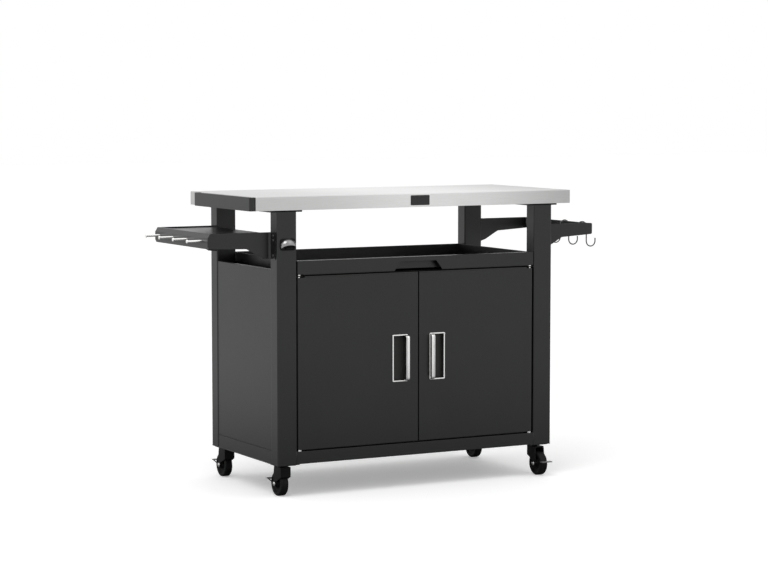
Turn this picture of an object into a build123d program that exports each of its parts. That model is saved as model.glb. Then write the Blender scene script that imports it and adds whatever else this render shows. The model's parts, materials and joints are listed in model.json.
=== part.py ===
import os
from build123d import *

os.makedirs("parts", exist_ok=True)

# Overall sizes, in millimetres. The floor is z = 0 and the doors face -Y.
height = 914.0
top_length = 1110.0
top_depth = 484.0
skirt = 42.0
corner = 3.0
top_round = 2.0
sheet = 1.5
plate = 2.0
frame_width = 970.0
post_width = 65.0
post_depth = 48.0
post_round = 4.0
base_z = 100.0

# Running gap between moving pieces, and radial play of a pin in its hole.
gap = 0.3
play = 0.05

# Plain plate on the front of the skirt.
blank_width = 66.0
blank_height = 31.0
blank_round = 3.0
blank_thick = 1.0
blank_offset = 5.0

# Beams under the worktop.
beam_overhang = 20.0
beam_drop = 5.0
beam_lip = 12.0

# Levels of the cabinet.
rail_top = 140.0
panel_seam = 2.5
panel_top = 693.0
panel_inset = 2.0
side_fold = 14.0
back_drop = 20.0
back_fold = 10.0
floor_setback = 2.0
base_flange = 73.0
flange_depth = 25.0
door_bottom = 145.0
door_top = 668.0
tray_bottom = 678.0
tray_top = 719.0

# Doors and their pins.
door_thick = 18.0
door_side_gap = 2.5
door_mid_gap = 4.0
pin_dia = 8.0
pin_head_dia = 11.0
pin_head = 3.0
pin_depth = 14.0
pin_end_gap = 1.0
washer_dia = 15.0
pivot_block = 20.0
pivot_web = 12.0
lug_gap = 3.0
lug_thick = 3.0
lug_width = 23.0
lug_setback = 2.0
header_front = 24.0
header_depth = 22.0
header_height = 31.0

# Door handles.
handle_x = 65.5
handle_width = 54.5
handle_height = 146.5
handle_rim = 4.0
handle_round = 3.0
handle_face = 3.0
grip_width = 12.0
grip_thick = 4.0
grip_out = 16.0
grip_inset = 1.0
grip_side = 1.0
grip_slope = 4.0
grip_bend = 8.0
grip_foot = 2.0
grip_round = 1.6
cup_depth = 13.5
cup_wall = 1.0

# Tray and runners.
tray_side_gap = 3.0
tray_wall_gap = 5.0
tray_floor = 682.0
tray_front_box = 20.0
tray_rear_gap = 14.0
notch_base = 168.0
notch_top = 126.0
notch_height = 27.0
slide_height = 6.0
slide_gap = 0.5
slide_start = 20.0
runner_leg = 17.0
runner_setback = 27.0
runner_end = 2.0

# Racks on the two ends.
arm_inset = 42.0
arm_flange = 32.0
arm_bend = 8.0
shelf_reach = 208.0
shelf_drop = 108.0
shelf_lip = 4.5
shelf_root = 81.0
shelf_root_run = 27.0
shelf_mid = 49.0
shelf_mid_run = 81.0
shelf_end = 46.0
nose_run = 8.0
nose_slope = 13.0
nose_low = 38.0
nose_tuck = 4.0
nose_return = 16.0
bead_width = 8.0
bead_fall = 3.0
hook_reach = 182.0
hook_drop = 111.0
hook_root = 76.0
hook_shoulder = 70.0
hook_shoulder_run = 18.0
hook_mid = 43.0
hook_mid_run = 66.0
hook_end = 36.0
arm_round = 5.0
hook_rail_inset = 11.0
hook_rail_thick = 3.0
hook_rail_round = 1.3
hook_rail_height = 35.0
hang_pitch = 105.0
peg_dia = 8.0
peg_length = 50.0
peg_disc_dia = 16.0
peg_disc = 4.0
peg_drop = 23.0
peg_collar_dia = 13.0
peg_collar = 3.0
wire_dia = 4.0
loop_radius = 17.0
hook_length = 85.0
hook_tail = 8.0
hook_tip = 10.0

# Knife holder and bottle opener.
knife_out = 19.0
knife_setback = 72.0
knife_lip = 15.0
knife_bend = 7.0
knife_drop = 1.0
opener_width = 51.0
opener_height = 36.0
opener_round = 8.0
opener_inset = 3.0
opener_drop = 162.0
opener_out = 20.0
hood_rise = 14.4
hood_radius = 24.0
hood_height = 21.5
hood_wall = 3.0
tooth_width = 18.0
tooth_height = 5.0
tooth_out = 7.0
tooth_rise = 6.0
tooth_round = 2.0

# Casters.
wheel_dia = 75.0
wheel_width = 25.0
tread_bevel = 3.5
rim_dia = 57.0
wheel_dish = 5.0
hub_dia = 26.0
hub_face_dia = 20.0
axle_dia = 8.0
axle_head_dia = 13.0
axle_head = 3.0
caster_side_inset = 35.0
caster_end_inset = 38.0
trail = 22.0
caster_plate = 62.0
caster_plate_round = 5.0
caster_plate_thick = 2.5
king_boss_dia = 18.0
king_boss = 5.5
king_dia = 12.0
king_head_dia = 20.0
king_head = 3.0
leg_thick = 3.0
leg_gap = 1.5
fork_nose = 19.0
fork_tail = 27.0
fork_eye_dia = 22.0
fork_shoulder = 16.0
fork_throat = 10.0
fork_apron = 27.0
pedal_thick = 2.0
pedal_reach = 17.0
pedal_gap = 3.0
pedal_arm = 10.0
pedal_rise = 9.0
pedal_root = 4.0
pedal_eye_dia = 18.0
pedal_tread = 2.5
pedal_round = 5.0

# Derived positions. x values are measured from the middle of the cabinet.
# The posts stand flush with the front and rear of the worktop.
half_w = frame_width / 2
half_d = top_depth / 2
inner_x = half_w - post_width
inner_y = half_d - post_depth
post_x = half_w - post_width / 2
post_y = half_d - post_depth / 2
post_bottom = base_z + plate
post_top = height - skirt - beam_drop
under_top = height - sheet
panel_bottom = rail_top + panel_seam
tray_rear = half_d - tray_rear_gap
runner_front = half_d - runner_setback
knife_rear = half_d - knife_setback
arm_y = half_d - arm_inset
caster_x = half_w - caster_side_inset
caster_y = half_d - caster_end_inset
shelf_z = height - shelf_drop
hook_z = height - hook_drop
peg_z = shelf_z - peg_drop
opener_x = -post_x + opener_inset
opener_z = height - opener_drop
hook_x = half_w + hook_reach - hook_rail_inset
shelf_x = half_w + shelf_reach
x_low = -shelf_x - peg_length
x_high = hook_x + 3 * loop_radius + wire_dia / 2
x_shift = -(x_low + x_high) / 2
hang_y = [hang_pitch * k for k in (-1.5, -0.5, 0.5, 1.5)]


def level(z):
    return Plane(origin=(x_shift, 0, z))


def front(y):
    return Plane(origin=(x_shift, y, 0), x_dir=(1, 0, 0), z_dir=(0, -1, 0))


def side(x):
    return Plane(origin=(x_shift + x, 0, 0), x_dir=(0, 1, 0), z_dir=(1, 0, 0))


def span(a, b, c, d):
    # Rectangle from (a, c) to (b, d) in the current sketch.
    with Locations(((a + b) / 2, (c + d) / 2)):
        Rectangle(abs(b - a), abs(d - c))


def block(z0, z1, x0, x1, y0, y1, mode=Mode.ADD):
    # Upright block between two levels.
    with BuildSketch(level(z0)) as outline:
        span(x0, x1, y0, y1)
    extrude(outline.sketch, amount=z1 - z0, mode=mode)


def rod(plane, x, y, dia, length, mode=Mode.ADD):
    # Round bar standing on a plane.
    with BuildSketch(plane) as outline:
        with Locations((x, y)):
            Circle(dia / 2)
    extrude(outline.sketch, amount=length, mode=mode)


def save(piece, name):
    piece.part.label = name
    export_step(piece.part, f"parts/{name}.step")


# Worktop: folded pan with rounded corners, open underneath.
with BuildPart() as worktop:
    with BuildSketch(level(height - skirt)):
        RectangleRounded(top_length, top_depth, corner)
    extrude(amount=skirt)
    fillet(worktop.faces().sort_by(Axis.Z)[-1].edges(), top_round)
    with BuildSketch(level(height - skirt)):
        RectangleRounded(top_length - 2 * sheet, top_depth - 2 * sheet, corner - sheet)
    extrude(amount=skirt - sheet, mode=Mode.SUBTRACT)
save(worktop, "worktop")

# Plain plate on the front of the skirt.
with BuildPart() as blank_plate:
    with BuildSketch(front(-top_depth / 2)):
        with Locations((blank_offset, height - skirt / 2)):
            RectangleRounded(blank_width, blank_height, blank_round)
    extrude(amount=blank_thick)
save(blank_plate, "blank_plate")

# Hat channels under the worktop, one over each pair of posts.
for name, s in (("left", -1), ("right", 1)):
    half = post_width / 2 + beam_overhang
    with BuildPart() as top_beam:
        with BuildSketch(front(top_depth / 2 - plate)):
            with Locations((s * post_x, 0)):
                span(-half, half, post_top, post_top + sheet)
                span(-half, -half + sheet, post_top, under_top)
                span(half - sheet, half, post_top, under_top)
                span(-half - beam_lip, -half + sheet, under_top - sheet, under_top)
                span(half - sheet, half + beam_lip, under_top - sheet, under_top)
        extrude(amount=top_depth - 2 * plate)
    save(top_beam, f"top_beam_{name}")

# Knife holder: strip folded with round bends, its lips against the end of the worktop.
with BuildPart() as knife_holder:
    x0 = -top_length / 2
    x1 = x0 - knife_out
    y0 = -top_depth / 2
    with BuildSketch(level(height - skirt)):
        with BuildLine():
            FilletPolyline((x0, y0 + knife_lip), (x0, y0), (x1, y0), (x1, knife_rear), (x0, knife_rear),
                           (x0, knife_rear - knife_lip), radius=knife_bend)
            offset(amount=plate, side=Side.RIGHT)
        make_face()
    extrude(amount=skirt - knife_drop)
save(knife_holder, "knife_holder")

# Tube posts, standing on the side base rails.
for name, sx, sy in (("front_left", -1, -1), ("front_right", 1, -1), ("rear_left", -1, 1), ("rear_right", 1, 1)):
    with BuildPart() as post:
        with BuildSketch(level(post_bottom)):
            with Locations((sx * post_x, sy * post_y)):
                RectangleRounded(post_width, post_depth, post_round)
                RectangleRounded(post_width - 2 * sheet, post_depth - 2 * sheet, post_round - sheet, mode=Mode.SUBTRACT)
        extrude(amount=post_top - post_bottom)
    save(post, f"post_{name}")

# Side base rails: a wide foot flange under both posts and a web in line with the side panel above it.
for name, s in (("left", -1), ("right", 1)):
    web = half_w - panel_inset
    with BuildPart() as base_rail_side:
        block(base_z, post_bottom, s * half_w, s * (half_w - base_flange), -half_d, half_d)
        block(post_bottom, rail_top, s * web, s * (web - sheet), -inner_y, inner_y)
        block(rail_top - sheet, rail_top, s * web, s * (web - flange_depth), -inner_y, inner_y)
    save(base_rail_side, f"base_rail_{name}")

# Front base rail: channel between the posts, its top flange carries the lower door pins.
pin_x = inner_x - door_side_gap - door_thick / 2
pin_y = -half_d + door_thick / 2
with BuildPart() as base_rail_front:
    block(post_bottom, rail_top, -inner_x, inner_x, -half_d, -half_d + sheet)
    block(rail_top - sheet, rail_top, -inner_x, inner_x, -half_d, -half_d + flange_depth)
    block(post_bottom, post_bottom + sheet, -inner_x, inner_x, -half_d, -half_d + flange_depth)
    for s in (-1, 1):
        rod(level(rail_top - sheet), s * pin_x, pin_y, pin_dia, sheet, Mode.SUBTRACT)
save(base_rail_front, "base_rail_front")

# Rear base rail: same channel, its web in line with the back panel.
rear_web = half_d - panel_inset
with BuildPart() as base_rail_rear:
    block(post_bottom, rail_top, -inner_x, inner_x, rear_web - sheet, rear_web)
    block(rail_top - sheet, rail_top, -inner_x, inner_x, rear_web - flange_depth, rear_web)
    block(post_bottom, post_bottom + sheet, -inner_x, inner_x, rear_web - flange_depth, rear_web)
save(base_rail_rear, "base_rail_rear")

# Cabinet floor: sheet lying on the rails, cut away round the posts.
door_back = -half_d + door_thick
with BuildPart() as cabinet_floor:
    floor_x = half_w - panel_inset - sheet
    with BuildSketch(level(rail_top)):
        span(-floor_x, floor_x, -inner_y, inner_y)
        span(-inner_x, inner_x, door_back + floor_setback, rear_web - sheet)
    extrude(amount=sheet)
save(cabinet_floor, "cabinet_floor")

# Side panels with a folded top edge.
for name, s in (("left", -1), ("right", 1)):
    face = half_w - panel_inset
    with BuildPart() as side_panel:
        block(panel_bottom, panel_top, s * face, s * (face - sheet), -inner_y, inner_y)
        block(panel_top - sheet, panel_top, s * face, s * (face - side_fold), -inner_y, inner_y)
    save(side_panel, f"side_panel_{name}")

# Back panel with a folded top edge.
with BuildPart() as back_panel:
    face = half_d - panel_inset
    back_top = panel_top - back_drop
    block(panel_bottom, back_top, -inner_x, inner_x, face - sheet, face)
    block(back_top - sheet, back_top, -inner_x, inner_x, face - back_fold, face)
save(back_panel, "back_panel")

# Header rail: channel behind the top of the doors, with a lug over each door pin.
lug_z = door_top + lug_gap
header_top = lug_z + lug_thick
header_y = -half_d + header_front
with BuildPart() as header_rail:
    low = header_top - header_height
    block(low, header_top, -inner_x, inner_x, header_y, header_y + sheet)
    block(header_top - sheet, header_top, -inner_x, inner_x, header_y, header_y + header_depth)
    block(low, low + sheet, -inner_x, inner_x, header_y, header_y + header_depth)
    for s in (-1, 1):
        block(lug_z, header_top, s * inner_x, s * (inner_x - lug_width), -half_d + lug_setback, header_y)
        rod(level(lug_z), s * pin_x, pin_y, pin_dia, lug_thick, Mode.SUBTRACT)
save(header_rail, "header_rail")

# Door pins: the upper ones hang from the lugs, the lower ones have a washer that the door turns on.
for name, s in (("left", -1), ("right", 1)):
    with BuildPart() as hinge_pins:
        rod(level(door_top - pin_depth), s * pin_x, pin_y, pin_dia, header_top - door_top + pin_depth)
        rod(level(header_top), s * pin_x, pin_y, pin_head_dia, pin_head)
        rod(level(rail_top - sheet - pin_head), s * pin_x, pin_y, pin_head_dia, pin_head)
        rod(level(rail_top - sheet), s * pin_x, pin_y, pin_dia, door_bottom + pin_depth - rail_top + sheet)
        rod(level(rail_top), s * pin_x, pin_y, washer_dia, door_bottom - rail_top - gap)
    save(hinge_pins, f"hinge_pins_{name}")

# Doors: pans open at the back, the hinge edge rounded about the pin, a solid block at each pin.
for name, s in (("left", -1), ("right", 1)):
    free_x = door_mid_gap / 2
    with BuildPart() as door:
        with BuildSketch(level(door_bottom)):
            span(s * pin_x, s * free_x, -half_d, door_back)
            with Locations((s * pin_x, pin_y)):
                Circle(door_thick / 2)
        extrude(amount=door_top - door_bottom)
        block(door_bottom + sheet, door_top - sheet, s * (pin_x - pivot_web), s * (free_x + sheet),
              -half_d + sheet, door_back, Mode.SUBTRACT)
        with BuildSketch(level(door_bottom + pivot_block)):
            span(s * pin_x, s * (pin_x - pivot_web), -half_d + sheet, door_back)
            with Locations((s * pin_x, pin_y)):
                Circle(door_thick / 2 - sheet)
        extrude(amount=door_top - door_bottom - 2 * pivot_block, mode=Mode.SUBTRACT)
        bore_depth = pin_depth + pin_end_gap
        for z in (door_bottom, door_top - bore_depth):
            rod(level(z), s * pin_x, pin_y, pin_dia + 2 * play, bore_depth, Mode.SUBTRACT)
        mid_z = (door_bottom + door_top) / 2
        cup_width = handle_width - 2 * handle_rim
        cup_height = handle_height - 2 * handle_rim
        with BuildSketch(front(-half_d)):
            with Locations((s * handle_x, mid_z)):
                Rectangle(cup_width + 2 * cup_wall, cup_height + 2 * cup_wall)
        extrude(amount=-sheet, mode=Mode.SUBTRACT)
    save(door, f"door_{name}")

    # Handle: flat frame with a bowed strap grip on the free side of the door.
    with BuildPart() as handle:
        grip_x = s * (handle_x - handle_width / 2 + grip_side)
        y_out = -half_d - grip_out
        y_under = y_out + grip_thick
        y_in = -half_d - handle_face / 2
        z_top = mid_z + handle_height / 2 - grip_inset
        z_low = mid_z - handle_height / 2 + grip_inset
        under = grip_slope + grip_thick
        foot = grip_thick + grip_foot
        with BuildSketch(side(grip_x)) as strap:
            with BuildLine():
                Polyline(
                    (y_in, z_low), (y_out, z_low + grip_slope), (y_out, z_top - grip_slope), (y_in, z_top),
                    (y_in, z_top - foot), (y_under, z_top - under), (y_under, z_low + under), (y_in, z_low + foot),
                    close=True)
            make_face()
            fillet([v for v in strap.vertices() if abs(v.X - y_out) < gap], grip_bend)
            fillet([v for v in strap.vertices() if abs(v.X - y_under) < gap], grip_bend - grip_thick)
        extrude(amount=s * grip_width)
        fillet(handle.edges().filter_by(Axis.Z).group_by(Axis.Y)[0], grip_round)
        with BuildSketch(front(-half_d)):
            with Locations((s * handle_x, mid_z)):
                RectangleRounded(handle_width, handle_height, handle_round)
                Rectangle(cup_width, cup_height, mode=Mode.SUBTRACT)
        extrude(amount=handle_face)
    save(handle, f"handle_{name}")

    # Cup sunk into the door behind the grip.
    with BuildPart() as handle_cup:
        with BuildSketch(front(-half_d)):
            with Locations((s * handle_x, mid_z)):
                Rectangle(cup_width + 2 * cup_wall, cup_height + 2 * cup_wall)
        extrude(amount=-cup_depth)
        with BuildSketch(front(-half_d)):
            with Locations((s * handle_x, mid_z)):
                Rectangle(cup_width, cup_height)
        extrude(amount=-cup_depth + cup_wall, mode=Mode.SUBTRACT)
    save(handle_cup, f"handle_cup_{name}")

# Tray: open box with a folded front, a finger notch in the front and a slide bar along each side.
with BuildPart() as tray:
    front_x = inner_x - tray_side_gap
    wall_x = inner_x - tray_wall_gap
    box_y = -half_d + tray_front_box
    block(tray_floor, tray_top, -wall_x, wall_x, box_y, tray_rear)
    block(tray_floor + sheet, tray_top, -wall_x + sheet, wall_x - sheet, box_y + sheet, tray_rear - sheet, Mode.SUBTRACT)
    block(tray_bottom, tray_top, -front_x, front_x, -half_d, -half_d + sheet)
    block(tray_top - sheet, tray_top, -front_x, front_x, -half_d, box_y + sheet)
    with BuildSketch(front(-half_d)):
        with BuildLine():
            Polyline((-notch_base / 2, tray_bottom), (-notch_top / 2, tray_bottom + notch_height),
                     (notch_top / 2, tray_bottom + notch_height), (notch_base / 2, tray_bottom), close=True)
        make_face()
    extrude(amount=-sheet, mode=Mode.SUBTRACT)
    slide_out = tray_wall_gap - sheet - slide_gap
    for s in (-1, 1):
        block(tray_floor + sheet, tray_floor + sheet + slide_height, s * wall_x, s * (wall_x + slide_out),
              box_y + slide_start, tray_rear)
save(tray, "tray")

# Runners: channels on the inner faces of the posts that hold the slide bars.
for name, s in (("left", -1), ("right", 1)):
    leg_z = tray_floor - slide_gap
    lip_z = tray_floor + sheet + slide_height + slide_gap
    with BuildPart() as tray_runner:
        runner_rear = half_d - runner_end
        block(leg_z - sheet, leg_z, s * inner_x, s * (inner_x - runner_leg), -runner_front, runner_rear)
        block(leg_z - sheet, lip_z + sheet, s * inner_x, s * (inner_x - sheet), -runner_front, runner_rear)
        block(lip_z, lip_z + sheet, s * inner_x, s * (wall_x + slide_gap), -runner_front, runner_rear)
    save(tray_runner, f"tray_runner_{name}")


def dome(radius, rise, mode=Mode.ADD):
    # Round cap of the bottle opener's hood, standing on the hood's lower edge.
    with BuildSketch(Plane(origin=hood_middle, x_dir=(1, 0, 0), z_dir=(0, -1, 0))) as quarter:
        with BuildLine():
            EllipticalCenterArc((0, 0), radius, rise, arc_size=90)
            Polyline((0, rise), (0, 0), (radius, 0))
        make_face()
    revolve(quarter.sketch, axis=Axis(hood_middle, (0, 0, 1)), mode=mode)


# Bottle opener: plate with a hollow domed hood and a tooth under it.
hood_middle = (x_shift + opener_x, -half_d - opener_out + hood_radius, opener_z + hood_rise)
with BuildPart() as bottle_opener:
    dome(hood_radius, hood_height)
    dome(hood_radius - hood_wall, hood_height - hood_wall, Mode.SUBTRACT)
    with BuildSketch(front(-half_d)):
        with Locations((opener_x, opener_z + opener_height / 2)):
            Rectangle(2 * opener_width, 2 * opener_height)
    extrude(amount=-2 * hood_radius, mode=Mode.SUBTRACT)
    with BuildSketch(front(-half_d)):
        with Locations((opener_x, opener_z + opener_height / 2)):
            RectangleRounded(opener_width, opener_height, opener_round)
    extrude(amount=plate)
    with BuildSketch(front(-half_d - plate)):
        with Locations((opener_x, opener_z + tooth_rise)):
            RectangleRounded(tooth_width, tooth_height, tooth_round)
    extrude(amount=tooth_out)
save(bottle_opener, "bottle_opener")


def arm(s, t, reach, outline):
    # Sheet arm: plate along X with a flange turned outwards onto the post, trimmed to its side outline.
    y_face = t * arm_y
    y_back = t * (arm_y - plate)
    y_tip = t * (arm_y + arm_flange)
    x_in = s * half_w
    with BuildPart() as made:
        low = min(z for x, z in outline)
        with BuildSketch(level(low)) as plan:
            with BuildLine():
                Polyline((x_in, y_tip), (x_in + s * plate, y_tip), (x_in + s * plate, y_face), (x_in + s * reach, y_face),
                         (x_in + s * reach, y_back), (x_in, y_back), close=True)
            make_face()
            corner = plan.vertices().sort_by_distance((x_in + s * plate, y_face, 0))[0]
            fillet(corner, arm_bend)
        extrude(amount=max(z for x, z in outline) - low)
        with BuildSketch(front(t * (arm_y + arm_flange + plate))) as trim:
            with BuildLine():
                Polyline(*[(s * x, z) for x, z in outline], close=True)
            make_face()
            outer = [v for v in trim.vertices() if abs(v.X) > half_w + reach - 1]
            fillet(outer, arm_round)
        extrude(amount=t * (arm_flange + 3 * plate), mode=Mode.INTERSECT)
    return made


# Left rack: two arms, a flat shelf with a rounded outer edge between them and four pegs.
shelf_outline = [
    (half_w, shelf_z), (shelf_x - nose_run, shelf_z), (shelf_x, shelf_z - nose_slope), (shelf_x, shelf_z - nose_low),
    (shelf_x - nose_tuck, shelf_z - shelf_end), (half_w + shelf_mid_run, shelf_z - shelf_mid),
    (half_w + shelf_root_run, shelf_z - shelf_root + plate), (half_w, shelf_z - shelf_root)]
for name, t in (("front", -1), ("rear", 1)):
    shelf_arm = arm(-1, t, shelf_reach, shelf_outline)
    save(shelf_arm, f"shelf_arm_{name}")

with BuildPart() as spice_shelf:
    deck = shelf_z - shelf_lip
    with BuildSketch(front(arm_y - plate)):
        with BuildLine() as skin:
            bead = shelf_x - nose_run - bead_width
            Polyline((-half_w - nose_tuck, deck), (-bead + bead_fall, deck), (-bead, shelf_z), (-shelf_x + nose_run, shelf_z),
                     (-shelf_x, shelf_z - nose_slope), (-shelf_x, shelf_z - nose_low),
                     (-shelf_x + nose_tuck, shelf_z - shelf_end), (-shelf_x + nose_return, shelf_z - shelf_end))
            offset(amount=sheet, side=Side.LEFT)
        make_face()
    extrude(amount=2 * (arm_y - plate))
save(spice_shelf, "spice_shelf")

with BuildPart() as tool_pegs:
    for y in hang_y:
        rod(side(-shelf_x), y, peg_z, peg_collar_dia, -peg_collar)
        rod(side(-shelf_x), y, peg_z, peg_dia, -peg_length)
        rod(side(-shelf_x - peg_length), y, peg_z, peg_disc_dia, peg_disc)
save(tool_pegs, "tool_pegs")

# Right rack: two arms and a rail on edge for the hooks.
hook_outline = [
    (half_w, hook_z), (half_w + hook_reach, hook_z), (half_w + hook_reach, hook_z - hook_end),
    (half_w + hook_mid_run, hook_z - hook_mid), (half_w + hook_shoulder_run, hook_z - hook_shoulder),
    (half_w, hook_z - hook_root)]
for name, t in (("front", -1), ("rear", 1)):
    hook_arm = arm(1, t, hook_reach, hook_outline)
    save(hook_arm, f"hook_arm_{name}")

with BuildPart() as hook_rail:
    block(hook_z - hook_rail_height, hook_z, hook_x - hook_rail_thick / 2, hook_x + hook_rail_thick / 2,
          -arm_y + plate, arm_y - plate)
    fillet(hook_rail.faces().sort_by(Axis.Z)[-1].edges().filter_by(Axis.Y), hook_rail_round)
save(hook_rail, "hook_rail")


def bend(x, y, z, turn):
    # Half turn of hook wire from (x, z) to the next straight, over the top for turn = 1 and below for turn = -1.
    with BuildSketch(level(z)) as section:
        with Locations((x, y)):
            Circle(wire_dia / 2)
    revolve(section.sketch, axis=Axis((x_shift + x + loop_radius, y, z), (0, turn, 0)), revolution_arc=180)


# S-hooks: wire bent over the rail, down its outer side and up into the lower loop.
for n, y in enumerate(hang_y, start=1):
    top_z = hook_z + gap + wire_dia / 2 - loop_radius
    low_z = hook_z + gap + wire_dia - hook_length + wire_dia / 2 + loop_radius
    spine = hook_x + loop_radius
    with BuildPart() as s_hook:
        rod(level(top_z - hook_tail), hook_x - loop_radius, y, wire_dia, hook_tail)
        bend(hook_x - loop_radius, y, top_z, 1)
        rod(level(low_z), spine, y, wire_dia, top_z - low_z)
        bend(spine, y, low_z, -1)
        rod(level(low_z), spine + 2 * loop_radius, y, wire_dia, hook_tip)
    save(s_hook, f"s_hook_{n}")

# Caster top plates with the boss and king pin each fork turns on.
corners = {"front_left": (-1, -1, 1), "front_right": (1, -1, -1), "rear_left": (-1, 1, 1), "rear_right": (1, 1, -1)}
boss_low = base_z - caster_plate_thick - king_boss
crown_top = boss_low - gap
crown_low = crown_top - leg_thick
with BuildPart() as caster_plates:
    for sx, sy, d in corners.values():
        x = sx * caster_x
        y = sy * caster_y
        with BuildSketch(level(base_z - caster_plate_thick)):
            with Locations((x, y)):
                RectangleRounded(caster_plate, caster_plate, caster_plate_round)
        extrude(amount=caster_plate_thick)
        rod(level(boss_low), x, y, king_boss_dia, king_boss)
        rod(level(crown_low - gap), x, y, king_dia, leg_thick + 2 * gap)
        rod(level(crown_low - gap - king_head), x, y, king_head_dia, king_head)
save(caster_plates, "caster_plates")

# Casters: fork, axle, wheel and brake pedal. d is the way the wheel trails, +1 to the back.
wheel_r = wheel_dia / 2
leg_in = wheel_width / 2 + leg_gap
leg_out = leg_in + leg_thick
pedal_in = leg_out + gap
pedal_out = pedal_in + pedal_thick
for name, (sx, sy, d) in corners.items():
    cx = sx * caster_x
    cy = sy * caster_y
    wy = cy + d * trail

    with BuildPart() as fork:
        eye = fork_eye_dia / 2
        with BuildSketch(side(cx - leg_out)):
            with BuildLine():
                Polyline((cy - d * fork_nose, crown_low - fork_apron), (cy - d * fork_nose, crown_top),
                         (cy + d * fork_tail, crown_top), (wy + d * eye, wheel_r + fork_shoulder),
                         (wy + d * eye, wheel_r), (wy - d * eye, wheel_r), (wy - d * eye, wheel_r + fork_throat),
                         close=True)
            make_face()
            with Locations((wy, wheel_r)):
                Circle(eye)
        extrude(amount=2 * leg_out)
        with BuildSketch(side(cx - leg_in)):
            span(cy - d * (fork_nose - leg_thick), cy + d * wheel_dia, 0, crown_low)
        extrude(amount=2 * leg_in, mode=Mode.SUBTRACT)
        rod(level(crown_low), cx, cy, king_dia + 2 * play, leg_thick, Mode.SUBTRACT)
        rod(side(cx - leg_out), wy, wheel_r, axle_dia, 2 * leg_out, Mode.SUBTRACT)
    save(fork, f"fork_{name}")

    with BuildPart() as axle:
        head_in = pedal_out + gap
        rod(side(cx - head_in), wy, wheel_r, axle_dia, 2 * head_in)
        rod(side(cx - head_in - axle_head), wy, wheel_r, axle_head_dia, axle_head)
        rod(side(cx + head_in), wy, wheel_r, axle_head_dia, axle_head)
    save(axle, f"axle_{name}")

    with BuildPart() as wheel:
        half = wheel_width / 2
        with BuildSketch(Plane(origin=(x_shift + cx, wy, wheel_r), x_dir=(1, 0, 0), z_dir=(0, -1, 0))):
            with BuildLine():
                Polyline(
                    (0, axle_dia / 2 + play), (leg_in - gap, axle_dia / 2 + play), (leg_in - gap, hub_face_dia / 2),
                    (half, hub_dia / 2), (half - wheel_dish, hub_dia / 2), (half - wheel_dish, rim_dia / 2),
                    (half, rim_dia / 2), (half, wheel_r - tread_bevel), (half - tread_bevel, wheel_r), (0, wheel_r), close=True)
            make_face()
            mirror(about=Plane.YZ)
        revolve(axis=Axis((x_shift + cx, wy, wheel_r), (1, 0, 0)))
    save(wheel, f"wheel_{name}")

    with BuildPart() as pedal:
        y_bar = wy + d * (wheel_r + pedal_gap)
        y_root = y_bar + d * pedal_root
        y_tip = y_bar + d * pedal_reach
        z_bar = wheel_r + pedal_rise
        for x in (cx - pedal_out, cx + pedal_in):
            with BuildSketch(side(x)):
                with BuildLine():
                    Polyline((wy, wheel_r - pedal_arm / 2), (y_root, z_bar), (y_root, z_bar + pedal_tread),
                             (wy, wheel_r + pedal_arm / 2), close=True)
                make_face()
                with Locations((wy, wheel_r)):
                    Circle(pedal_eye_dia / 2)
            extrude(amount=pedal_thick)
        with BuildSketch(level(z_bar)) as tongue:
            span(cx - pedal_out, cx + pedal_out, y_bar, y_tip)
            fillet([v for v in tongue.vertices() if abs(v.Y - y_tip) < gap], pedal_round)
        extrude(amount=pedal_tread)
        rod(side(cx - pedal_out), wy, wheel_r, axle_dia + 2 * play, 2 * pedal_out, Mode.SUBTRACT)
    save(pedal, f"pedal_{name}")
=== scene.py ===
import json
from math import pi, radians

import bpy
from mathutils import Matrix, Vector


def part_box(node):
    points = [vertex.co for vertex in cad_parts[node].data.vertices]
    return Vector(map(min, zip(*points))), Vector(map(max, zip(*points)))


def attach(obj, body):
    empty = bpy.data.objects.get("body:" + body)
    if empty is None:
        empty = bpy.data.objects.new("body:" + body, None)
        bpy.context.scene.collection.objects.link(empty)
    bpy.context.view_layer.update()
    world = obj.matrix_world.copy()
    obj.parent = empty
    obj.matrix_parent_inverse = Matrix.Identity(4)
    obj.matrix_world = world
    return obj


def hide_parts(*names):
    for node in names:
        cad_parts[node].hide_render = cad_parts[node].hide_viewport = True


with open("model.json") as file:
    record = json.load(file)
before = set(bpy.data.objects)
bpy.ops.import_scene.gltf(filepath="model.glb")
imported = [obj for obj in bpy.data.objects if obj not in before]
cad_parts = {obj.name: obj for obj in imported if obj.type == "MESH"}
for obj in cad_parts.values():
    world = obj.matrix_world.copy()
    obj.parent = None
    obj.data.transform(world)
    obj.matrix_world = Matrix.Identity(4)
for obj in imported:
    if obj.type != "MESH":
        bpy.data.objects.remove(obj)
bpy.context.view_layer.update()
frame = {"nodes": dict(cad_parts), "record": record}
nodes = frame["nodes"]
print("frame loaded:", len(nodes), "nodes")

# the photo's camera: 28 degrees left of the front, a little above the worktop
view = {"place": (-3.4766, -6.4897, 1.2316), "down": 0.0851, "left": 0.4949, "lens": 108.8, "sensor": 36}
cameraData = bpy.data.cameras.new("photoCamera")
cameraData.lens = view["lens"]
cameraData.sensor_width = view["sensor"]
camera = bpy.data.objects.new("photoCamera", cameraData)
camera.location = view["place"]
camera.rotation_euler = (pi / 2 - view["down"], 0, -view["left"])
bpy.context.scene.collection.objects.link(camera)
bpy.context.scene.camera = camera
bpy.context.scene.view_settings.view_transform = "Standard"
print("camera set")

noiseSpan = (0.3, 0.7)  # where most of a noise's values lie
mergeGap = 0.000005  # doubled points closer than this become one
pickGap = 0.0001  # how near a point lies to the line it is picked by
seedSize = 0.001  # plane that shrinks to an outline's first point


def newMaterial(name):
    mat = bpy.data.materials.new(name)
    mat.use_nodes = True
    return mat, mat.node_tree, mat.node_tree.nodes["Principled BSDF"]


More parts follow.
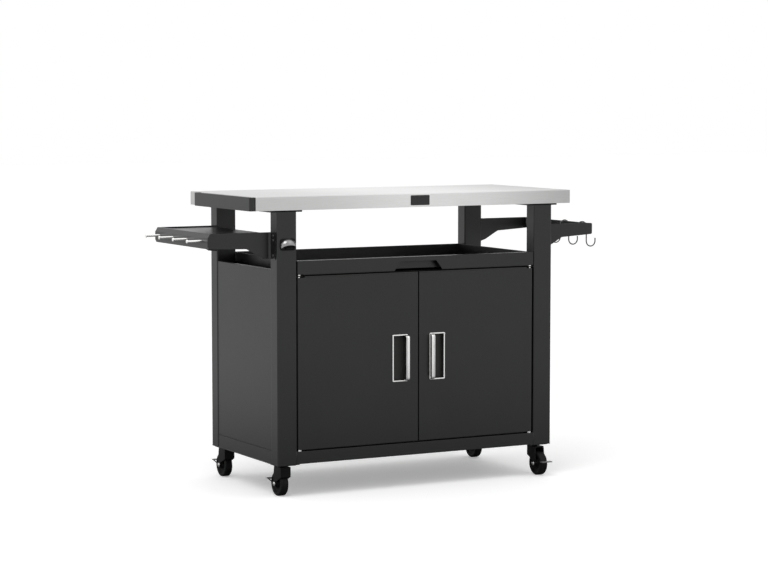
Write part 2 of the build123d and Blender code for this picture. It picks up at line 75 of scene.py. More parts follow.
def addNode(tree, kind, place):
    node = tree.nodes.new(kind)
    node.location = place
    return node


def noiseAt(tree, scale, stretch, detail, place):
    coords = addNode(tree, "ShaderNodeTexCoord", (place[0] - 400, place[1]))
    mapping = addNode(tree, "ShaderNodeMapping", (place[0] - 200, place[1]))
    mapping.inputs["Scale"].default_value = stretch
    noise = addNode(tree, "ShaderNodeTexNoise", place)
    noise.inputs["Scale"].default_value = scale
    noise.inputs["Detail"].default_value = detail
    tree.links.new(coords.outputs["Object"], mapping.inputs["Vector"])
    tree.links.new(mapping.outputs["Vector"], noise.inputs["Vector"])
    return noise


def tintFrom(tree, source, low, high, place):
    node = addNode(tree, "ShaderNodeValToRGB", place)
    node.color_ramp.elements[0].position = noiseSpan[0]
    node.color_ramp.elements[1].position = noiseSpan[1]
    node.color_ramp.elements[0].color = (*low, 1)
    node.color_ramp.elements[1].color = (*high, 1)
    tree.links.new(source.outputs["Fac"], node.inputs["Fac"])
    return node


def spread(tree, source, low, high, place):
    node = addNode(tree, "ShaderNodeMapRange", place)
    node.inputs["From Min"].default_value = noiseSpan[0]
    node.inputs["From Max"].default_value = noiseSpan[1]
    node.inputs["To Min"].default_value = low
    node.inputs["To Max"].default_value = high
    tree.links.new(source.outputs["Fac"], node.inputs["Value"])
    return node


def bumpFrom(tree, source, strength, distance, soften, place):
    node = addNode(tree, "ShaderNodeBump", place)
    node.inputs["Strength"].default_value = strength
    node.inputs["Distance"].default_value = distance
    tree.links.new(source.outputs["Fac"], node.inputs["Height"])
    edge = addNode(tree, "ShaderNodeBevel", (place[0] - 200, place[1] - 200))
    edge.inputs["Radius"].default_value = soften
    tree.links.new(edge.outputs["Normal"], node.inputs["Normal"])
    return node


def paintedSheenBand(tree, tint, paintedSheen, place):
    # painted sheen: a painted highlight band that lightens the tint across the middle of the object's length
    # and darkens it towards the ends, each stop a place and a strength
    row = place[1] + 250
    coords = addNode(tree, "ShaderNodeTexCoord", (place[0] - 800, row))
    parts = addNode(tree, "ShaderNodeSeparateXYZ", (place[0] - 600, row))
    along = addNode(tree, "ShaderNodeMapRange", (place[0] - 400, row))
    along.inputs["From Min"].default_value = -paintedSheen["reach"]
    along.inputs["From Max"].default_value = paintedSheen["reach"]
    ramp = addNode(tree, "ShaderNodeValToRGB", (place[0] - 200, row))
    ramp.color_ramp.interpolation = "B_SPLINE"
    spots = ramp.color_ramp.elements
    while len(spots) < len(paintedSheen["stops"]):
        spots.new(0.5)
    for spot, (at, strength) in zip(spots, paintedSheen["stops"]):
        spot.position = at
        spot.color = (strength, strength, strength, 1)
    blend = addNode(tree, "ShaderNodeMixRGB", place)
    blend.blend_type = "MULTIPLY"
    blend.inputs["Fac"].default_value = 1.0
    tree.links.new(coords.outputs["Object"], parts.inputs["Vector"])
    tree.links.new(parts.outputs["X"], along.inputs["Value"])
    tree.links.new(along.outputs["Result"], ramp.inputs["Fac"])
    tree.links.new(tint.outputs["Color"], blend.inputs["Color1"])
    tree.links.new(ramp.outputs["Color"], blend.inputs["Color2"])
    return blend


def finish(name, look):
    # cloudy tint, fine grain in the gloss and bump, softened edges
    mat, tree, shader = newMaterial(name)
    shader.inputs["Metallic"].default_value = look.get("metal", 0.0)
    shader.inputs["Specular IOR Level"].default_value = look.get("specular", 0.5)
    shader.inputs["Anisotropic"].default_value = look.get("brushed", 0.0)
    stretch = look.get("stretch", (1, 1, 1))
    cloud = noiseAt(tree, look["cloud"], stretch, detail=4, place=(-700, 300))
    tint = tintFrom(tree, cloud, look["low"], look["high"], (-400, 300))
    grain = noiseAt(tree, look["grain"], stretch, detail=2, place=(-700, -200))
    shine = spread(tree, grain, look["rough"][0], look["rough"][1], (-400, 0))
    dents = bumpFrom(tree, grain, look["bump"], look["depth"], look["edge"], (-400, -300))
    # painted highlight: the steel's broad sheen band is painted into its tint
    if "paintedSheen" in look:
        tint = paintedSheenBand(tree, tint, look["paintedSheen"], (-150, 300))
    tree.links.new(tint.outputs["Color"], shader.inputs["Base Color"])
    tree.links.new(shine.outputs["Result"], shader.inputs["Roughness"])
    tree.links.new(dents.outputs["Normal"], shader.inputs["Normal"])
    return mat


coatLook = {
    "low": (0.0045, 0.0045, 0.0046), "high": (0.0065, 0.0065, 0.0066), "cloud": 7, "grain": 900,
    "rough": (0.30, 0.38), "bump": 0.15, "depth": 0.0001, "edge": 0.0012,
}
steelLook = {
    "low": (0.79, 0.79, 0.785), "high": (0.87, 0.87, 0.865), "cloud": 1.0, "grain": 1.0,
    "stretch": (14, 1500, 1500), "rough": (0.27, 0.36), "bump": 0.06, "depth": 0.00003, "edge": 0.0008,
    "metal": 1.0, "brushed": 0.3,
    # the band below is a painted highlight across the middle of the worktop, darker towards its ends
    "paintedSheen": {"reach": 0.56, "stops": ((0.0, 0.70), (0.25, 0.74), (0.48, 1.0), (0.75, 0.90), (1.0, 0.52))},
}
plateLook = {
    "low": (0.90, 0.90, 0.89), "high": (0.97, 0.97, 0.96), "cloud": 1.0, "grain": 1.0,
    "stretch": (900, 900, 9), "rough": (0.18, 0.28), "bump": 0.08, "depth": 0.00004, "edge": 0.0005,
    "metal": 1.0,
}
zincLook = {
    "low": (0.60, 0.60, 0.59), "high": (0.70, 0.70, 0.69), "cloud": 60, "grain": 400,
    "rough": (0.28, 0.38), "bump": 0.1, "depth": 0.00005, "edge": 0.0004, "metal": 1.0,
}
casterLook = {
    "low": (0.003, 0.003, 0.003), "high": (0.006, 0.006, 0.006), "cloud": 25, "grain": 500,
    "rough": (0.36, 0.46), "bump": 0.2, "depth": 0.0001, "edge": 0.0007, "specular": 0.14,
}
tyreLook = {
    "low": (0.004, 0.004, 0.004), "high": (0.008, 0.008, 0.008), "cloud": 40, "grain": 700,
    "rough": (0.48, 0.62), "bump": 0.3, "depth": 0.00015, "edge": 0.0006, "specular": 0.16,
}
pedalLook = {
    "low": (0.11, 0.11, 0.11), "high": (0.15, 0.15, 0.15), "cloud": 30, "grain": 600,
    "rough": (0.38, 0.48), "bump": 0.2, "depth": 0.0001, "edge": 0.0005,
}
cupLook = {
    "low": (0.010, 0.010, 0.009), "high": (0.016, 0.016, 0.014), "cloud": 30, "grain": 800,
    "rough": (0.5, 0.62), "bump": 0.25, "depth": 0.0001, "edge": 0.0006,
}
wireLook = {
    "low": (0.09, 0.09, 0.09), "high": (0.13, 0.13, 0.13), "cloud": 60, "grain": 500,
    "rough": (0.22, 0.32), "bump": 0.1, "depth": 0.00005, "edge": 0.0003, "metal": 1.0,
}
# painted reflection: chrome tinted dark to stand for the dark surroundings it reflects
darkReflectLook = {
    "low": (0.26, 0.26, 0.26), "high": (0.34, 0.34, 0.34), "cloud": 60, "grain": 500,
    "rough": (0.16, 0.24), "bump": 0.05, "depth": 0.00003, "edge": 0.0003, "metal": 1.0,
}
darkWire = finish("darkWire", wireLook)
darkReflectChrome = finish("darkReflectChrome", darkReflectLook)
slotFinish = {
    "charcoal": finish("charcoalCoat", coatLook), "stainless": finish("brushedStainless", steelLook),
    "satin_chrome": finish("satinPlate", plateLook), "zinc": finish("zincPlate", zincLook),
    "caster_black": finish("casterBlack", casterLook), "wheel_black": finish("wheelRubber", tyreLook),
    "pedal_grey": finish("pedalGrey", pedalLook), "dark_cup": finish("cupBlack", cupLook),
}
for entry in frame["record"]["subparts"]:
    node = nodes[entry["node"]]
    node.data.materials.clear()
    node.data.materials.append(slotFinish[entry["material_slot"]])
nodes["header_rail"].data.materials[0] = slotFinish["caster_black"]  # painted shade: the rail over the doors takes the darker caster finish to stand for the shade it sits in


def middleOf(node):
    low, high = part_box(node)
    return Vector([(low[i] + high[i]) / 2 for i in range(3)])


def editNew():
    bpy.ops.object.mode_set(mode="EDIT")
    bpy.ops.mesh.select_all(action="SELECT")


def closePiece(name, slot, body, angle=30):
    # leaves edit mode, settles normals, smooths, puts the place into the mesh
    bpy.ops.mesh.select_all(action="SELECT")
    bpy.ops.mesh.remove_doubles(threshold=mergeGap)
    bpy.ops.mesh.normals_make_consistent(inside=False)
    bpy.ops.object.mode_set(mode="OBJECT")
    piece = bpy.context.active_object
    piece.name = name
    bpy.ops.object.transform_apply(location=True, rotation=True, scale=True)
    bpy.ops.object.shade_smooth_by_angle(angle=radians(angle))
    piece.data.materials.clear()
    piece.data.materials.append(slotFinish[slot])
    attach(piece, body)
    return piece


def pickVerts(test):
    bpy.ops.mesh.select_all(action="DESELECT")
    bpy.ops.object.mode_set(mode="OBJECT")
    for vert in bpy.context.active_object.data.vertices:
        vert.select = test(vert.co)
    bpy.ops.object.mode_set(mode="EDIT")


def closeEnds():
    # a face on the open end just pulled and one on the end it started from
    bpy.ops.mesh.edge_face_add()
    bpy.ops.mesh.select_all(action="DESELECT")
    bpy.ops.mesh.select_non_manifold()
    bpy.ops.mesh.edge_face_add()


def closeRing():
    # joins the first and the last ring of a bored piece
    bpy.ops.mesh.select_all(action="DESELECT")
    bpy.ops.mesh.select_non_manifold()
    bpy.ops.mesh.bridge_edge_loops()


def turnedRings(start, along, profile, sides):
    # rings pulled along a line from one profile point to the next
    along = Vector(along)
    place = Vector(start) + along * profile[0][0]
    turn = along.to_track_quat("Z", "Y").to_euler()
    bpy.ops.object.select_all(action="DESELECT")
    bpy.ops.mesh.primitive_circle_add(vertices=sides, radius=profile[0][1], location=place, rotation=turn)
    bpy.ops.object.transform_apply(location=True, rotation=True, scale=True)
    editNew()
    for (atWas, rWas), (at, r) in zip(profile, profile[1:]):
        place = Vector(start) + along * at
        bpy.ops.mesh.extrude_region_move(TRANSFORM_OT_translate={"value": along * (at - atWas)})
        if r != rWas:
            bpy.ops.transform.resize(value=(r / rWas,) * 3, center_override=place)


# wheels: grooved tread, dished sides, hub cone, bored for the axle; a raised lip lines each dish
wheelSet = {
    "half": [(-0.0137, 0.00405), (-0.0137, 0.0098), (-0.0127, 0.0122), (-0.0122, 0.0129), (-0.0078, 0.0133),
             (-0.0076, 0.0138), (-0.0076, 0.0268), (-0.0080, 0.0275), (-0.0119, 0.0289), (-0.0124, 0.0294),
             (-0.0125, 0.0302), (-0.0125, 0.0338), (-0.0119, 0.0356), (-0.0105, 0.0369), (-0.0085, 0.0375),
             (-0.0050, 0.0375), (-0.0047, 0.0369), (-0.0040, 0.0369), (-0.0037, 0.0375)],
    "ring": [(0.0074, 0.0260), (0.0115, 0.0278), (0.0121, 0.0283), (0.0122, 0.0290), (0.0074, 0.0276)],
    "sides": 72,
}
corners = ("front_left", "front_right", "rear_left", "rear_right")
wheelProfile = wheelSet["half"] + [(-at, r) for at, r in reversed(wheelSet["half"])]
for corner in corners:
    middle = middleOf("wheel_" + corner)
    turnedRings(middle, (1, 0, 0), wheelProfile, wheelSet["sides"])
    closeRing()
    wheel = closePiece("tread_" + corner, "wheel_black", "roller_" + corner)
    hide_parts("wheel_" + corner)
    for sideName, outward in (("left", -1), ("right", 1)):
        turnedRings(middle, (outward, 0, 0), wheelSet["ring"], wheelSet["sides"])
        closeRing()
        ring = closePiece("dishRing_%s_%s" % (corner, sideName), "wheel_black", "roller_" + corner)
        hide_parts("wheel_" + corner)
print("wheels turned")

# axle bolts: shaft with a domed head at each end
boltSet = {
    "shaft": 0.004, "sides": 40,
    "head": [(0.0, 0.0014), (0.0004, 0.0034), (0.0011, 0.0051), (0.0019, 0.0061), (0.0026, 0.0065),
             (0.003, 0.0065)],
}
for corner in corners:
    low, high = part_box("axle_" + corner)
    long = high[0] - low[0]
    start = (low[0], (low[1] + high[1]) / 2, (low[2] + high[2]) / 2)
    headEnd = boltSet["head"][-1][0]
    shaft = [(headEnd, boltSet["shaft"]), (long - headEnd, boltSet["shaft"])]
    farHead = [(long - at, r) for at, r in reversed(boltSet["head"])]
    turnedRings(start, (1, 0, 0), boltSet["head"] + shaft + farHead, boltSet["sides"])
    closeEnds()
    bolt = closePiece("axleBolt_" + corner, "zinc", "caster_" + corner)
    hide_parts("axle_" + corner)
print("axle bolts turned")

# pegs: round rod and a small rounded end disc
pegSet = {
    "profile": [(0.0, 0.0038), (0.0455, 0.0038), (0.046, 0.0042), (0.046, 0.0052), (0.0464, 0.0057),
                (0.0470, 0.0058), (0.0490, 0.0057), (0.0497, 0.0052), (0.05, 0.0040)],
    "count": 4, "inset": 0.008, "sides": 40,
}
low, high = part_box("tool_pegs")
pegRow = high[1] - low[1] - 2 * pegSet["inset"]
for k in range(pegSet["count"]):
    y = low[1] + pegSet["inset"] + pegRow * k / (pegSet["count"] - 1)
    turnedRings((high[0], y, (low[2] + high[2]) / 2), (-1, 0, 0), pegSet["profile"], pegSet["sides"])
    closeEnds()
    peg = closePiece("toolPeg%d" % k, "satin_chrome", "cart")
    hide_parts("tool_pegs")
print("pegs turned")

# hooks: wire bent over the rail and up into the lower loop, tips rounded
hookSet = {
    "count": 4, "wire": 0.002, "loop": 0.017, "tail": 0.008, "tip": 0.010, "steps": 22, "sides": 20,
    "tipRings": [(0.0, 0.45), (0.0004, 0.78), (0.0013, 1.0)],  # way in from the end, share of the wire
}
for k in range(1, hookSet["count"] + 1):
    low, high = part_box("s_hook_%d" % k)
    wire, loop = hookSet["wire"], hookSet["loop"]
    y = (low[1] + high[1]) / 2
    x = low[0] + wire
    topZ = high[2] - wire - loop
    lowZ = low[2] + wire + loop
    roundTip = [(at, wire * share) for at, share in hookSet["tipRings"]] + [(hookSet["tail"], wire)]
    turnedRings((x, y, topZ - hookSet["tail"]), (0, 0, 1), roundTip, hookSet["sides"])
    bpy.ops.mesh.spin(steps=hookSet["steps"], angle=pi, center=(x + loop, y, topZ), axis=(0, -1, 0))
    bpy.ops.mesh.extrude_region_move(TRANSFORM_OT_translate={"value": (0, 0, lowZ - topZ)})
    bpy.ops.mesh.spin(steps=hookSet["steps"], angle=pi, center=(x + 3 * loop, y, lowZ), axis=(0, 1, 0))
    tipX = x + 4 * loop
    endWas = 0.0
    shareWas = 1.0
    for wayIn, share in reversed(hookSet["tipRings"]):
        end = hookSet["tip"] - wayIn
        r = share / shareWas
        bpy.ops.mesh.extrude_region_move(TRANSFORM_OT_translate={"value": (0, 0, end - endWas)})
        bpy.ops.transform.resize(value=(r, r, r), center_override=(tipX, y, lowZ + end))
        endWas = end
        shareWas = share
    closeEnds()
    hook = closePiece("sHook%d" % k, "satin_chrome", "hook_%d" % k, angle=60)
    hook.data.materials[0] = darkWire
    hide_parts("s_hook_%d" % k)
print("hooks bent")


def roundedPlate(middle, width, tall, corner, turn=(pi / 2, 0, 0)):
    # flat plate on the middle point, facing the front unless turned
    bpy.ops.object.select_all(action="DESELECT")
    bpy.ops.mesh.primitive_plane_add(size=1, location=middle, rotation=turn)
    bpy.context.active_object.scale = (width, tall, 1)
    bpy.ops.object.transform_apply(location=True, rotation=True, scale=True)
    editNew()
    if corner:
        bpy.ops.mesh.bevel(affect="VERTICES", offset=corner, segments=5)


def drawOutline(x, outline):
    # flat face in the YZ plane, drawn point by point
    bpy.ops.object.select_all(action="DESELECT")
    bpy.ops.mesh.primitive_plane_add(size=seedSize, location=(x, *outline[0]))
    bpy.ops.object.transform_apply(location=True, rotation=True, scale=True)
    editNew()
    bpy.ops.mesh.merge(type="CENTER")
    for (yWas, zWas), (y, z) in zip(outline, outline[1:]):
        bpy.ops.mesh.extrude_vertices_move(TRANSFORM_OT_translate={"value": (0, y - yWas, z - zWas)})
    bpy.ops.mesh.select_all(action="SELECT")
    bpy.ops.mesh.edge_face_add()


def pull(value):
    # gives the flat face its thickness
    bpy.ops.mesh.select_all(action="SELECT")
    bpy.ops.mesh.extrude_region_move(TRANSFORM_OT_translate={"value": value})
    bpy.ops.mesh.select_all(action="SELECT")
    bpy.ops.mesh.normals_make_consistent(inside=False)


def softenEdges(width, segments=3, limit=30):
    bpy.ops.object.mode_set(mode="OBJECT")
    piece = bpy.context.active_object
    bevel = piece.modifiers.new("soften", "BEVEL")
    bevel.width = width
    bevel.segments = segments
    bevel.limit_method = "ANGLE"
    bevel.angle_limit = radians(limit)
    bpy.ops.object.modifier_apply(modifier="soften")
    bpy.ops.object.mode_set(mode="EDIT")


def joinTo(piece, other):
    bpy.ops.object.select_all(action="DESELECT")
    other.select_set(True)
    piece.select_set(True)
    bpy.context.view_layer.objects.active = piece
    bpy.ops.object.join()


# handles: flat frame with a bowed strap on the door's free side; the strap's outer half in bright plate is a
# painted highlight and its half towards the cup in greyer zinc is painted shade, both one metal
handleSet = {
    "rim": 0.004, "face": 0.003, "corner": 0.003, "openCorner": 0.001, "side": 0.001, "paintedHighlightHalf": 0.0065,
    "paintedShadeHalf": 0.0055, "thick": 0.004, "slope": 0.004, "foot": 0.006, "bend": 0.0061, "innerBend": 0.0033,
    "round": 0.0009,
}


def flatFrame(middle, width, tall):
    # the frame's outline and its opening's, filled in between
    rim = handleSet["rim"]
    roundedPlate(middle, width, tall, handleSet["corner"])
    bpy.ops.mesh.delete(type="ONLY_FACE")
    bpy.ops.mesh.primitive_plane_add(size=1, location=middle, rotation=(pi / 2, 0, 0))
    bpy.ops.transform.resize(value=(width - 2 * rim, 1, tall - 2 * rim), center_override=middle)
    bpy.ops.mesh.bevel(affect="VERTICES", offset=handleSet["openCorner"], segments=5)
    bpy.ops.mesh.delete(type="ONLY_FACE")
    bpy.ops.mesh.select_all(action="SELECT")
    bpy.ops.mesh.bridge_edge_loops()


def bowedStrap(x, wide, low, high):
    inY = high[1] - handleSet["face"] / 2
    outY = low[1]
    underY = outY + handleSet["thick"]
    topZ, lowZ = high[2] - handleSet["side"], low[2] + handleSet["side"]
    slope, foot = handleSet["slope"], handleSet["foot"]
    under = slope + handleSet["thick"]
    drawOutline(x, [
        (inY, lowZ), (outY, lowZ + slope), (outY, topZ - slope), (inY, topZ), (inY, topZ - foot),
        (underY, topZ - under), (underY, lowZ + under), (inY, lowZ + foot)])
    pickVerts(lambda co: abs(co.y - outY) < pickGap)
    bpy.ops.mesh.bevel(affect="VERTICES", offset=handleSet["bend"], segments=6)
    pickVerts(lambda co: abs(co.y - underY) < pickGap)
    bpy.ops.mesh.bevel(affect="VERTICES", offset=handleSet["innerBend"], segments=5)
    pull((wide, 0, 0))
    softenEdges(handleSet["round"])


for sideName, gripAtHigh in (("left", True), ("right", False)):
    low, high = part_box("handle_" + sideName)
    middle = ((low[0] + high[0]) / 2, high[1], (low[2] + high[2]) / 2)
    flatFrame(middle, high[0] - low[0], high[2] - low[2])
    pull((0, -handleSet["face"], 0))
    softenEdges(handleSet["round"])
    bpy.ops.object.mode_set(mode="OBJECT")
    handle = bpy.context.active_object
    # painted highlight and painted shade: the strap's two halves are lit and shaded copies of one metal
    paintedHighlightHalf, paintedShadeHalf = handleSet["paintedHighlightHalf"], handleSet["paintedShadeHalf"]
    highlightHalfX = high[0] - handleSet["side"] - paintedHighlightHalf if gripAtHigh else low[0] + handleSet["side"]
    shadeHalfX = highlightHalfX - paintedShadeHalf if gripAtHigh else highlightHalfX + paintedHighlightHalf
    bowedStrap(highlightHalfX, paintedHighlightHalf, low, high)
    bpy.ops.object.mode_set(mode="OBJECT")
    joinTo(handle, bpy.context.active_object)
    bpy.ops.object.mode_set(mode="EDIT")
    handle = closePiece("doorHandle_" + sideName, "satin_chrome", sideName + "_door", angle=35)
    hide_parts("handle_" + sideName)
    bowedStrap(shadeHalfX, paintedShadeHalf, low, high)
    inner = closePiece("gripInner_" + sideName, "zinc", sideName + "_door", angle=35)
    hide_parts("handle_" + sideName)
print("handles made")

# brake pedals: two black arms on the axle, a thin grey tongue across their ends
pedalSet = {
    "inner": 0.0173, "outer": 0.0193, "eye": 0.009, "bore": 0.00405, "start": 0.006, "under": 0.0002,
    "over": 0.0046, "bar": 0.0405, "root": 0.0445, "tip": 0.0575, "rise": 0.009, "tread": 0.0025,
    "round": 0.005, "soften": 0.0004, "sides": 40,
}
for corner in corners:
    middle = middleOf("wheel_" + corner)
    back = 1 if middleOf("pedal_" + corner).y > middle.y else -1
    bore, eye, tread = pedalSet["bore"], pedalSet["eye"], pedalSet["tread"]
    inner, outer, soften = pedalSet["inner"], pedalSet["outer"], pedalSet["soften"]
    eyeProfile = [(inner, bore), (inner, eye - soften), (inner + soften, eye), (outer - soften, eye),
                  (outer, eye - soften), (outer, bore)]
    tailOutline = [
        (middle.y + back * pedalSet["start"], middle.z - pedalSet["under"]),
        (middle.y + back * pedalSet["root"], middle.z + pedalSet["rise"]),
        (middle.y + back * pedalSet["root"], middle.z + pedalSet["rise"] + tread),
        (middle.y + back * pedalSet["start"], middle.z + pedalSet["over"])]
    arms = None
    for outward in (-1, 1):
        drawOutline(middle.x + outward * inner, tailOutline)
        pull((outward * (outer - inner), 0, 0))
        softenEdges(soften, 2)
        bpy.ops.object.mode_set(mode="OBJECT")
        tail = bpy.context.active_object
        turnedRings(middle, (outward, 0, 0), eyeProfile, pedalSet["sides"])
        closeRing()
        bpy.ops.object.mode_set(mode="OBJECT")
        joinTo(tail, bpy.context.active_object)
        if arms:
            joinTo(tail, arms)
        arms = tail
    bpy.ops.object.mode_set(mode="EDIT")
    arms = closePiece("pedalArms_" + corner, "caster_black", "brake_" + corner)
    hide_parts("pedal_" + corner)
    tipY = middle.y + back * pedalSet["tip"]
    tongueY = middle.y + back * (pedalSet["bar"] + pedalSet["tip"]) / 2
    tongue = (middle.x, tongueY, middle.z + pedalSet["rise"])
    roundedPlate(tongue, 2 * outer, pedalSet["tip"] - pedalSet["bar"], 0, (0, 0, 0))
    pickVerts(lambda co: abs(co.y - tipY) < pickGap)
    bpy.ops.mesh.bevel(affect="VERTICES", offset=pedalSet["round"], segments=6)
    pull((0, 0, tread))
    softenEdges(soften, 2)
    tongue = closePiece("pedalTongue_" + corner, "pedal_grey", "brake_" + corner)
    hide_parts("pedal_" + corner)
print("pedals made")

# rack screws: three on each arm's flange, domed heads with a socket
screwSet = {
    "profile": [(0.0, 0.0045), (0.0006, 0.0045), (0.0013, 0.0041), (0.0018, 0.0031), (0.002, 0.0021),
                (0.0019, 0.0019), (0.0009, 0.0017)],
    "in": 0.014, "flange": 0.002, "drops": (0.010, 0.024), "rise": 0.012, "sides": 24,
}
for arm, outward, atHigh in (("shelf_arm", -1, True), ("hook_arm", 1, False)):
    for end in ("front", "rear"):
        low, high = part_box(arm + "_" + end)
        x = (high[0] if atHigh else low[0]) + outward * screwSet["flange"]
        y = low[1] + screwSet["in"] if end == "front" else high[1] - screwSet["in"]
        heights = [high[2] - drop for drop in screwSet["drops"]] + [low[2] + screwSet["rise"]]
        for n, z in enumerate(heights):
            turnedRings((x, y, z), (outward, 0, 0), screwSet["profile"], screwSet["sides"])
            closeEnds()
            screw = closePiece("screw_%s_%s_%d" % (arm, end, n + 1), "caster_black", "cart")
            screw.data.materials[0] = darkWire
print("screws set")


def coatedStrip(name, body, middle, size, thick, soften, turn=(pi / 2, 0, 0)):
    # charcoal strip of a width and a height, pulled from its first face by a vector
    roundedPlate(middle, size[0], size[1], 0, turn)
    pull(thick)
    softenEdges(soften, 2)
    closePiece(name, "charcoal", body)


# weld beads that close the seams between the front base rail and its posts
beadSet = {"wide": 0.0039, "deep": 0.0038, "back": 0.0001, "soften": 0.0006}
low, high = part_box("base_rail_front")
for sideName, x in (("left", low[0] - beadSet["wide"] / 2), ("right", high[0] + beadSet["wide"] / 2)):
    seam = (x, low[1] + beadSet["back"], (low[2] + high[2]) / 2)
    size = (beadSet["wide"], high[2] - low[2])
    coatedStrip("weldBead_" + sideName, "cart", seam, size, (0, beadSet["deep"], 0), beadSet["soften"])
print("weld beads laid")

# lips that close the seams between the cabinet floor and its panels
lipSet = {"tall": 0.006, "thick": 0.001, "clear": 0.0002, "soften": 0.0003}
low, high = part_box("cabinet_floor")
backLow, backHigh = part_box("back_panel")
sideLow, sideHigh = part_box("side_panel_left")
lipZ = high[2] + lipSet["tall"] / 2
backWide = backHigh[0] - backLow[0]
sideDeep = sideHigh[1] - sideLow[1]
lipRows = (
    ("rear", ((low[0] + high[0]) / 2, high[1] - lipSet["clear"], lipZ), backWide, 0, (0, -1, 0)),
    ("left", (low[0] + lipSet["clear"], 0, lipZ), sideDeep, pi / 2, (1, 0, 0)),
    ("right", (high[0] - lipSet["clear"], 0, lipZ), sideDeep, pi / 2, (-1, 0, 0)),
)
for sideName, place, length, turn, inward in lipRows:
    size = (length - 2 * lipSet["clear"], lipSet["tall"])
    thick = Vector(inward) * lipSet["thick"]
    coatedStrip("floorLip_" + sideName, "cart", place, size, thick, lipSet["soften"], (pi / 2, 0, turn))
print("floor lips folded")

# hem under the tray front, either side of the finger notch and clear of the door pins
hemSet = {"drop": 0.0016, "thick": 0.0015, "notch": 0.168, "pinClear": 0.004, "soften": 0.0002}
low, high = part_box("tray")
notchX = (low[0] + high[0]) / 2
hemRows = (
    ("left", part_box("hinge_pins_left")[1][0] + hemSet["pinClear"], notchX - hemSet["notch"] / 2),
    ("right", notchX + hemSet["notch"] / 2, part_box("hinge_pins_right")[0][0] - hemSet["pinClear"]),
)
for sideName, fromX, toX in hemRows:
    place = ((fromX + toX) / 2, low[1], low[2] - hemSet["drop"] / 2)
    size = (toX - fromX, hemSet["drop"])
    thick = (0, hemSet["thick"], 0)
    coatedStrip("trayHem_" + sideName, "pull_out_tray", place, size, thick, hemSet["soften"])
print("tray hem folded")

# caps along the door tops, clear of the lugs that hold the pins
capSet = {"tall": 0.004, "pinClear": 0.0075, "soften": 0.0003}
for sideName in ("left", "right"):
    low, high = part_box("door_" + sideName)
    pinLow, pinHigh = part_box("hinge_pins_" + sideName)
    fromX = pinHigh[0] + capSet["pinClear"] if sideName == "left" else low[0]
    toX = high[0] if sideName == "left" else pinLow[0] - capSet["pinClear"]
    place = ((fromX + toX) / 2, low[1], high[2] + capSet["tall"] / 2)
    size = (toX - fromX, capSet["tall"])
    thick = (0, high[1] - low[1], 0)
    coatedStrip("doorCap_" + sideName, sideName + "_door", place, size, thick, capSet["soften"])
print("door caps folded")

# bottle opener: plate and tooth in a dark finish, partly painted shade under the hood; domed hood open below,
# its chrome tinted dark as a painted reflection of dark surroundings
openerSet = {
    "plate": 0.002, "corner": 0.008, "hoodLow": 0.0144, "hoodTall": 0.0215, "hoodHalf": 0.0252, "wall": 0.003,
    "lipBack": 0.004, "lipFront": 0.017, "tooth": (0.018, 0.005, 0.007), "toothRise": 0.006,
    "toothCorner": 0.0018, "plateSoften": 0.0006, "toothSoften": 0.0005, "hoodSoften": 0.0005,
}
low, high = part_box("bottle_opener")
midX = (low[0] + high[0]) / 2
faceY = high[1] - openerSet["plate"]
roundedPlate((midX, high[1], (low[2] + high[2]) / 2), high[0] - low[0], high[2] - low[2], openerSet["corner"])
pull((0, -openerSet["plate"], 0))
softenEdges(openerSet["plateSoften"])
bpy.ops.object.mode_set(mode="OBJECT")
backPlate = bpy.context.active_object
toothWide, toothTall, toothOut = openerSet["tooth"]
roundedPlate((midX, faceY, low[2] + openerSet["toothRise"]), toothWide, toothTall, openerSet["toothCorner"])
pull((0, -toothOut, 0))
softenEdges(openerSet["toothSoften"])
bpy.ops.object.mode_set(mode="OBJECT")
joinTo(backPlate, bpy.context.active_object)
bpy.ops.object.mode_set(mode="EDIT")
# partly painted shade: the plate and tooth take the black caster finish for the shadow under the hood
backPlate = closePiece("capLifterPlate", "caster_black", "cart", angle=35)
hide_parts("bottle_opener")

hoodMiddle = (midX, faceY, low[2] + openerSet["hoodLow"])
hoodOut = faceY - low[1]
lipSlope = (openerSet["lipFront"] - openerSet["lipBack"]) / hoodOut
bpy.ops.object.select_all(action="DESELECT")
bpy.ops.mesh.primitive_uv_sphere_add(segments=64, ring_count=32, radius=1, location=hoodMiddle)
bpy.context.active_object.scale = (openerSet["hoodHalf"], hoodOut, openerSet["hoodTall"])
bpy.ops.object.transform_apply(location=True, rotation=True, scale=True)
editNew()
bpy.ops.mesh.bisect(plane_co=(midX, faceY, 0), plane_no=(0, 1, 0), clear_outer=True)
bpy.ops.mesh.select_all(action="SELECT")
lipPoint = (midX, faceY, low[2] + openerSet["lipBack"])
bpy.ops.mesh.bisect(plane_co=lipPoint, plane_no=(0, lipSlope, 1), clear_inner=True)
bpy.ops.object.mode_set(mode="OBJECT")
shell = bpy.context.active_object.modifiers.new("wall", "SOLIDIFY")
shell.thickness = openerSet["wall"]
shell.offset = -1
bpy.ops.object.modifier_apply(modifier="wall")
bpy.ops.object.mode_set(mode="EDIT")
softenEdges(openerSet["hoodSoften"], segments=2, limit=50)
hood = closePiece("capLifterHood", "satin_chrome", "cart", angle=35)
# painted reflection: the hood's chrome is tinted dark
hood.data.materials[0] = darkReflectChrome
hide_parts("bottle_opener")
print("bottle opener made")

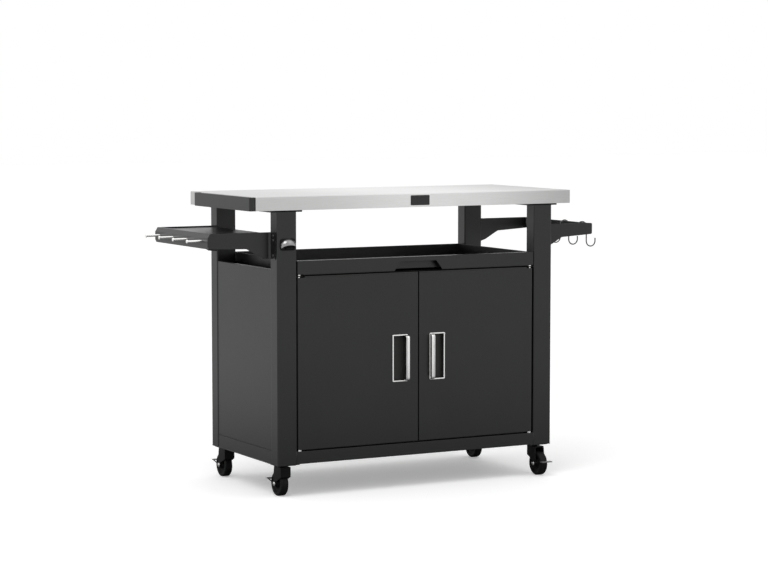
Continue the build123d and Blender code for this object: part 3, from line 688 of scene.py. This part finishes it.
# pale floor with painted shade: darker close to the cart for every ray but the camera's, so the cart reflects
# and takes in less light from the floor beside it
floorSet = {
    "far": 0.93, "paintedShadeNear": 0.28, "reach": (0.7, 2.8), "rough": 0.7, "specular": 0.1, "size": 60, "lift": 0.3,
}
bpy.ops.object.select_all(action="DESELECT")
bpy.ops.mesh.primitive_plane_add(size=floorSet["size"], location=(0, 0, 0))
floor = bpy.context.active_object
floor.name = "studioFloor"
floorMat, tree, shader = newMaterial("studioFloor")
shader.inputs["Roughness"].default_value = floorSet["rough"]
shader.inputs["Specular IOR Level"].default_value = floorSet["specular"]
shader.inputs["Emission Color"].default_value = (1, 1, 1, 1)
lift = addNode(tree, "ShaderNodeMapRange", (-250, -200))
lift.inputs["To Max"].default_value = floorSet["lift"]
paths = addNode(tree, "ShaderNodeLightPath", (-500, -200))
tree.links.new(paths.outputs["Is Camera Ray"], lift.inputs["Value"])
coords = addNode(tree, "ShaderNodeTexCoord", (-1100, 200))
away = addNode(tree, "ShaderNodeVectorMath", (-900, 200))
away.operation = "LENGTH"
# painted shade: the floor's colour falls off towards the cart
paintedShadeRamp = addNode(tree, "ShaderNodeMapRange", (-700, 200))
paintedShadeRamp.inputs["From Min"].default_value = floorSet["reach"][0]
paintedShadeRamp.inputs["From Max"].default_value = floorSet["reach"][1]
paintedShadeRamp.inputs["To Min"].default_value = floorSet["paintedShadeNear"]
paintedShadeRamp.inputs["To Max"].default_value = floorSet["far"]
seen = addNode(tree, "ShaderNodeMapRange", (-250, 200))
seen.inputs["To Max"].default_value = floorSet["far"]
tree.links.new(coords.outputs["Object"], away.inputs[0])
tree.links.new(away.outputs["Value"], paintedShadeRamp.inputs["Value"])
tree.links.new(paths.outputs["Is Camera Ray"], seen.inputs["Value"])
tree.links.new(paintedShadeRamp.outputs["Result"], seen.inputs["To Min"])
tree.links.new(seen.outputs["Result"], shader.inputs["Base Color"])
tree.links.new(lift.outputs["Result"], shader.inputs["Emission Strength"])
floor.data.materials.append(floorMat)

# white surroundings, full for the camera and the reflections, a little dimmer as light on the cart
airSet = {"ambient": 0.75, "seen": 1.0}
world = bpy.data.worlds.new("studioAir")
bpy.context.scene.world = world
world.use_nodes = True
tree = world.node_tree
backdrop = tree.nodes["Background"]
backdrop.inputs["Color"].default_value = (1, 1, 1, 1)
level = addNode(tree, "ShaderNodeMapRange", (-250, 0))
level.inputs["To Min"].default_value = airSet["ambient"]
level.inputs["To Max"].default_value = airSet["seen"]
paths = addNode(tree, "ShaderNodeLightPath", (-650, 0))
seen = addNode(tree, "ShaderNodeMath", (-450, 0))
seen.operation = "MAXIMUM"
tree.links.new(paths.outputs["Is Camera Ray"], seen.inputs[0])
tree.links.new(paths.outputs["Is Glossy Ray"], seen.inputs[1])
tree.links.new(seen.outputs["Value"], level.inputs["Value"])
tree.links.new(level.outputs["Result"], backdrop.inputs["Strength"])

lampSet = [
    {"name": "keyLeft", "place": (-2.6, -1.7, 4.6), "aim": (0, 0, 0.5), "size": 3.0, "power": 80},
    {"name": "fillFront", "place": (1.6, -3.2, 4.4), "aim": (0, 0, 0.5), "size": 3.0, "power": 10},
]
for lamp in lampSet:
    data = bpy.data.lights.new(lamp["name"], "AREA")
    data.energy = lamp["power"]
    data.size = lamp["size"]
    light = bpy.data.objects.new(lamp["name"], data)
    light.location = lamp["place"]
    light.rotation_euler = (Vector(lamp["aim"]) - Vector(lamp["place"])).to_track_quat("-Z", "Y").to_euler()
    bpy.context.scene.collection.objects.link(light)
print("floor, air and lamps set")
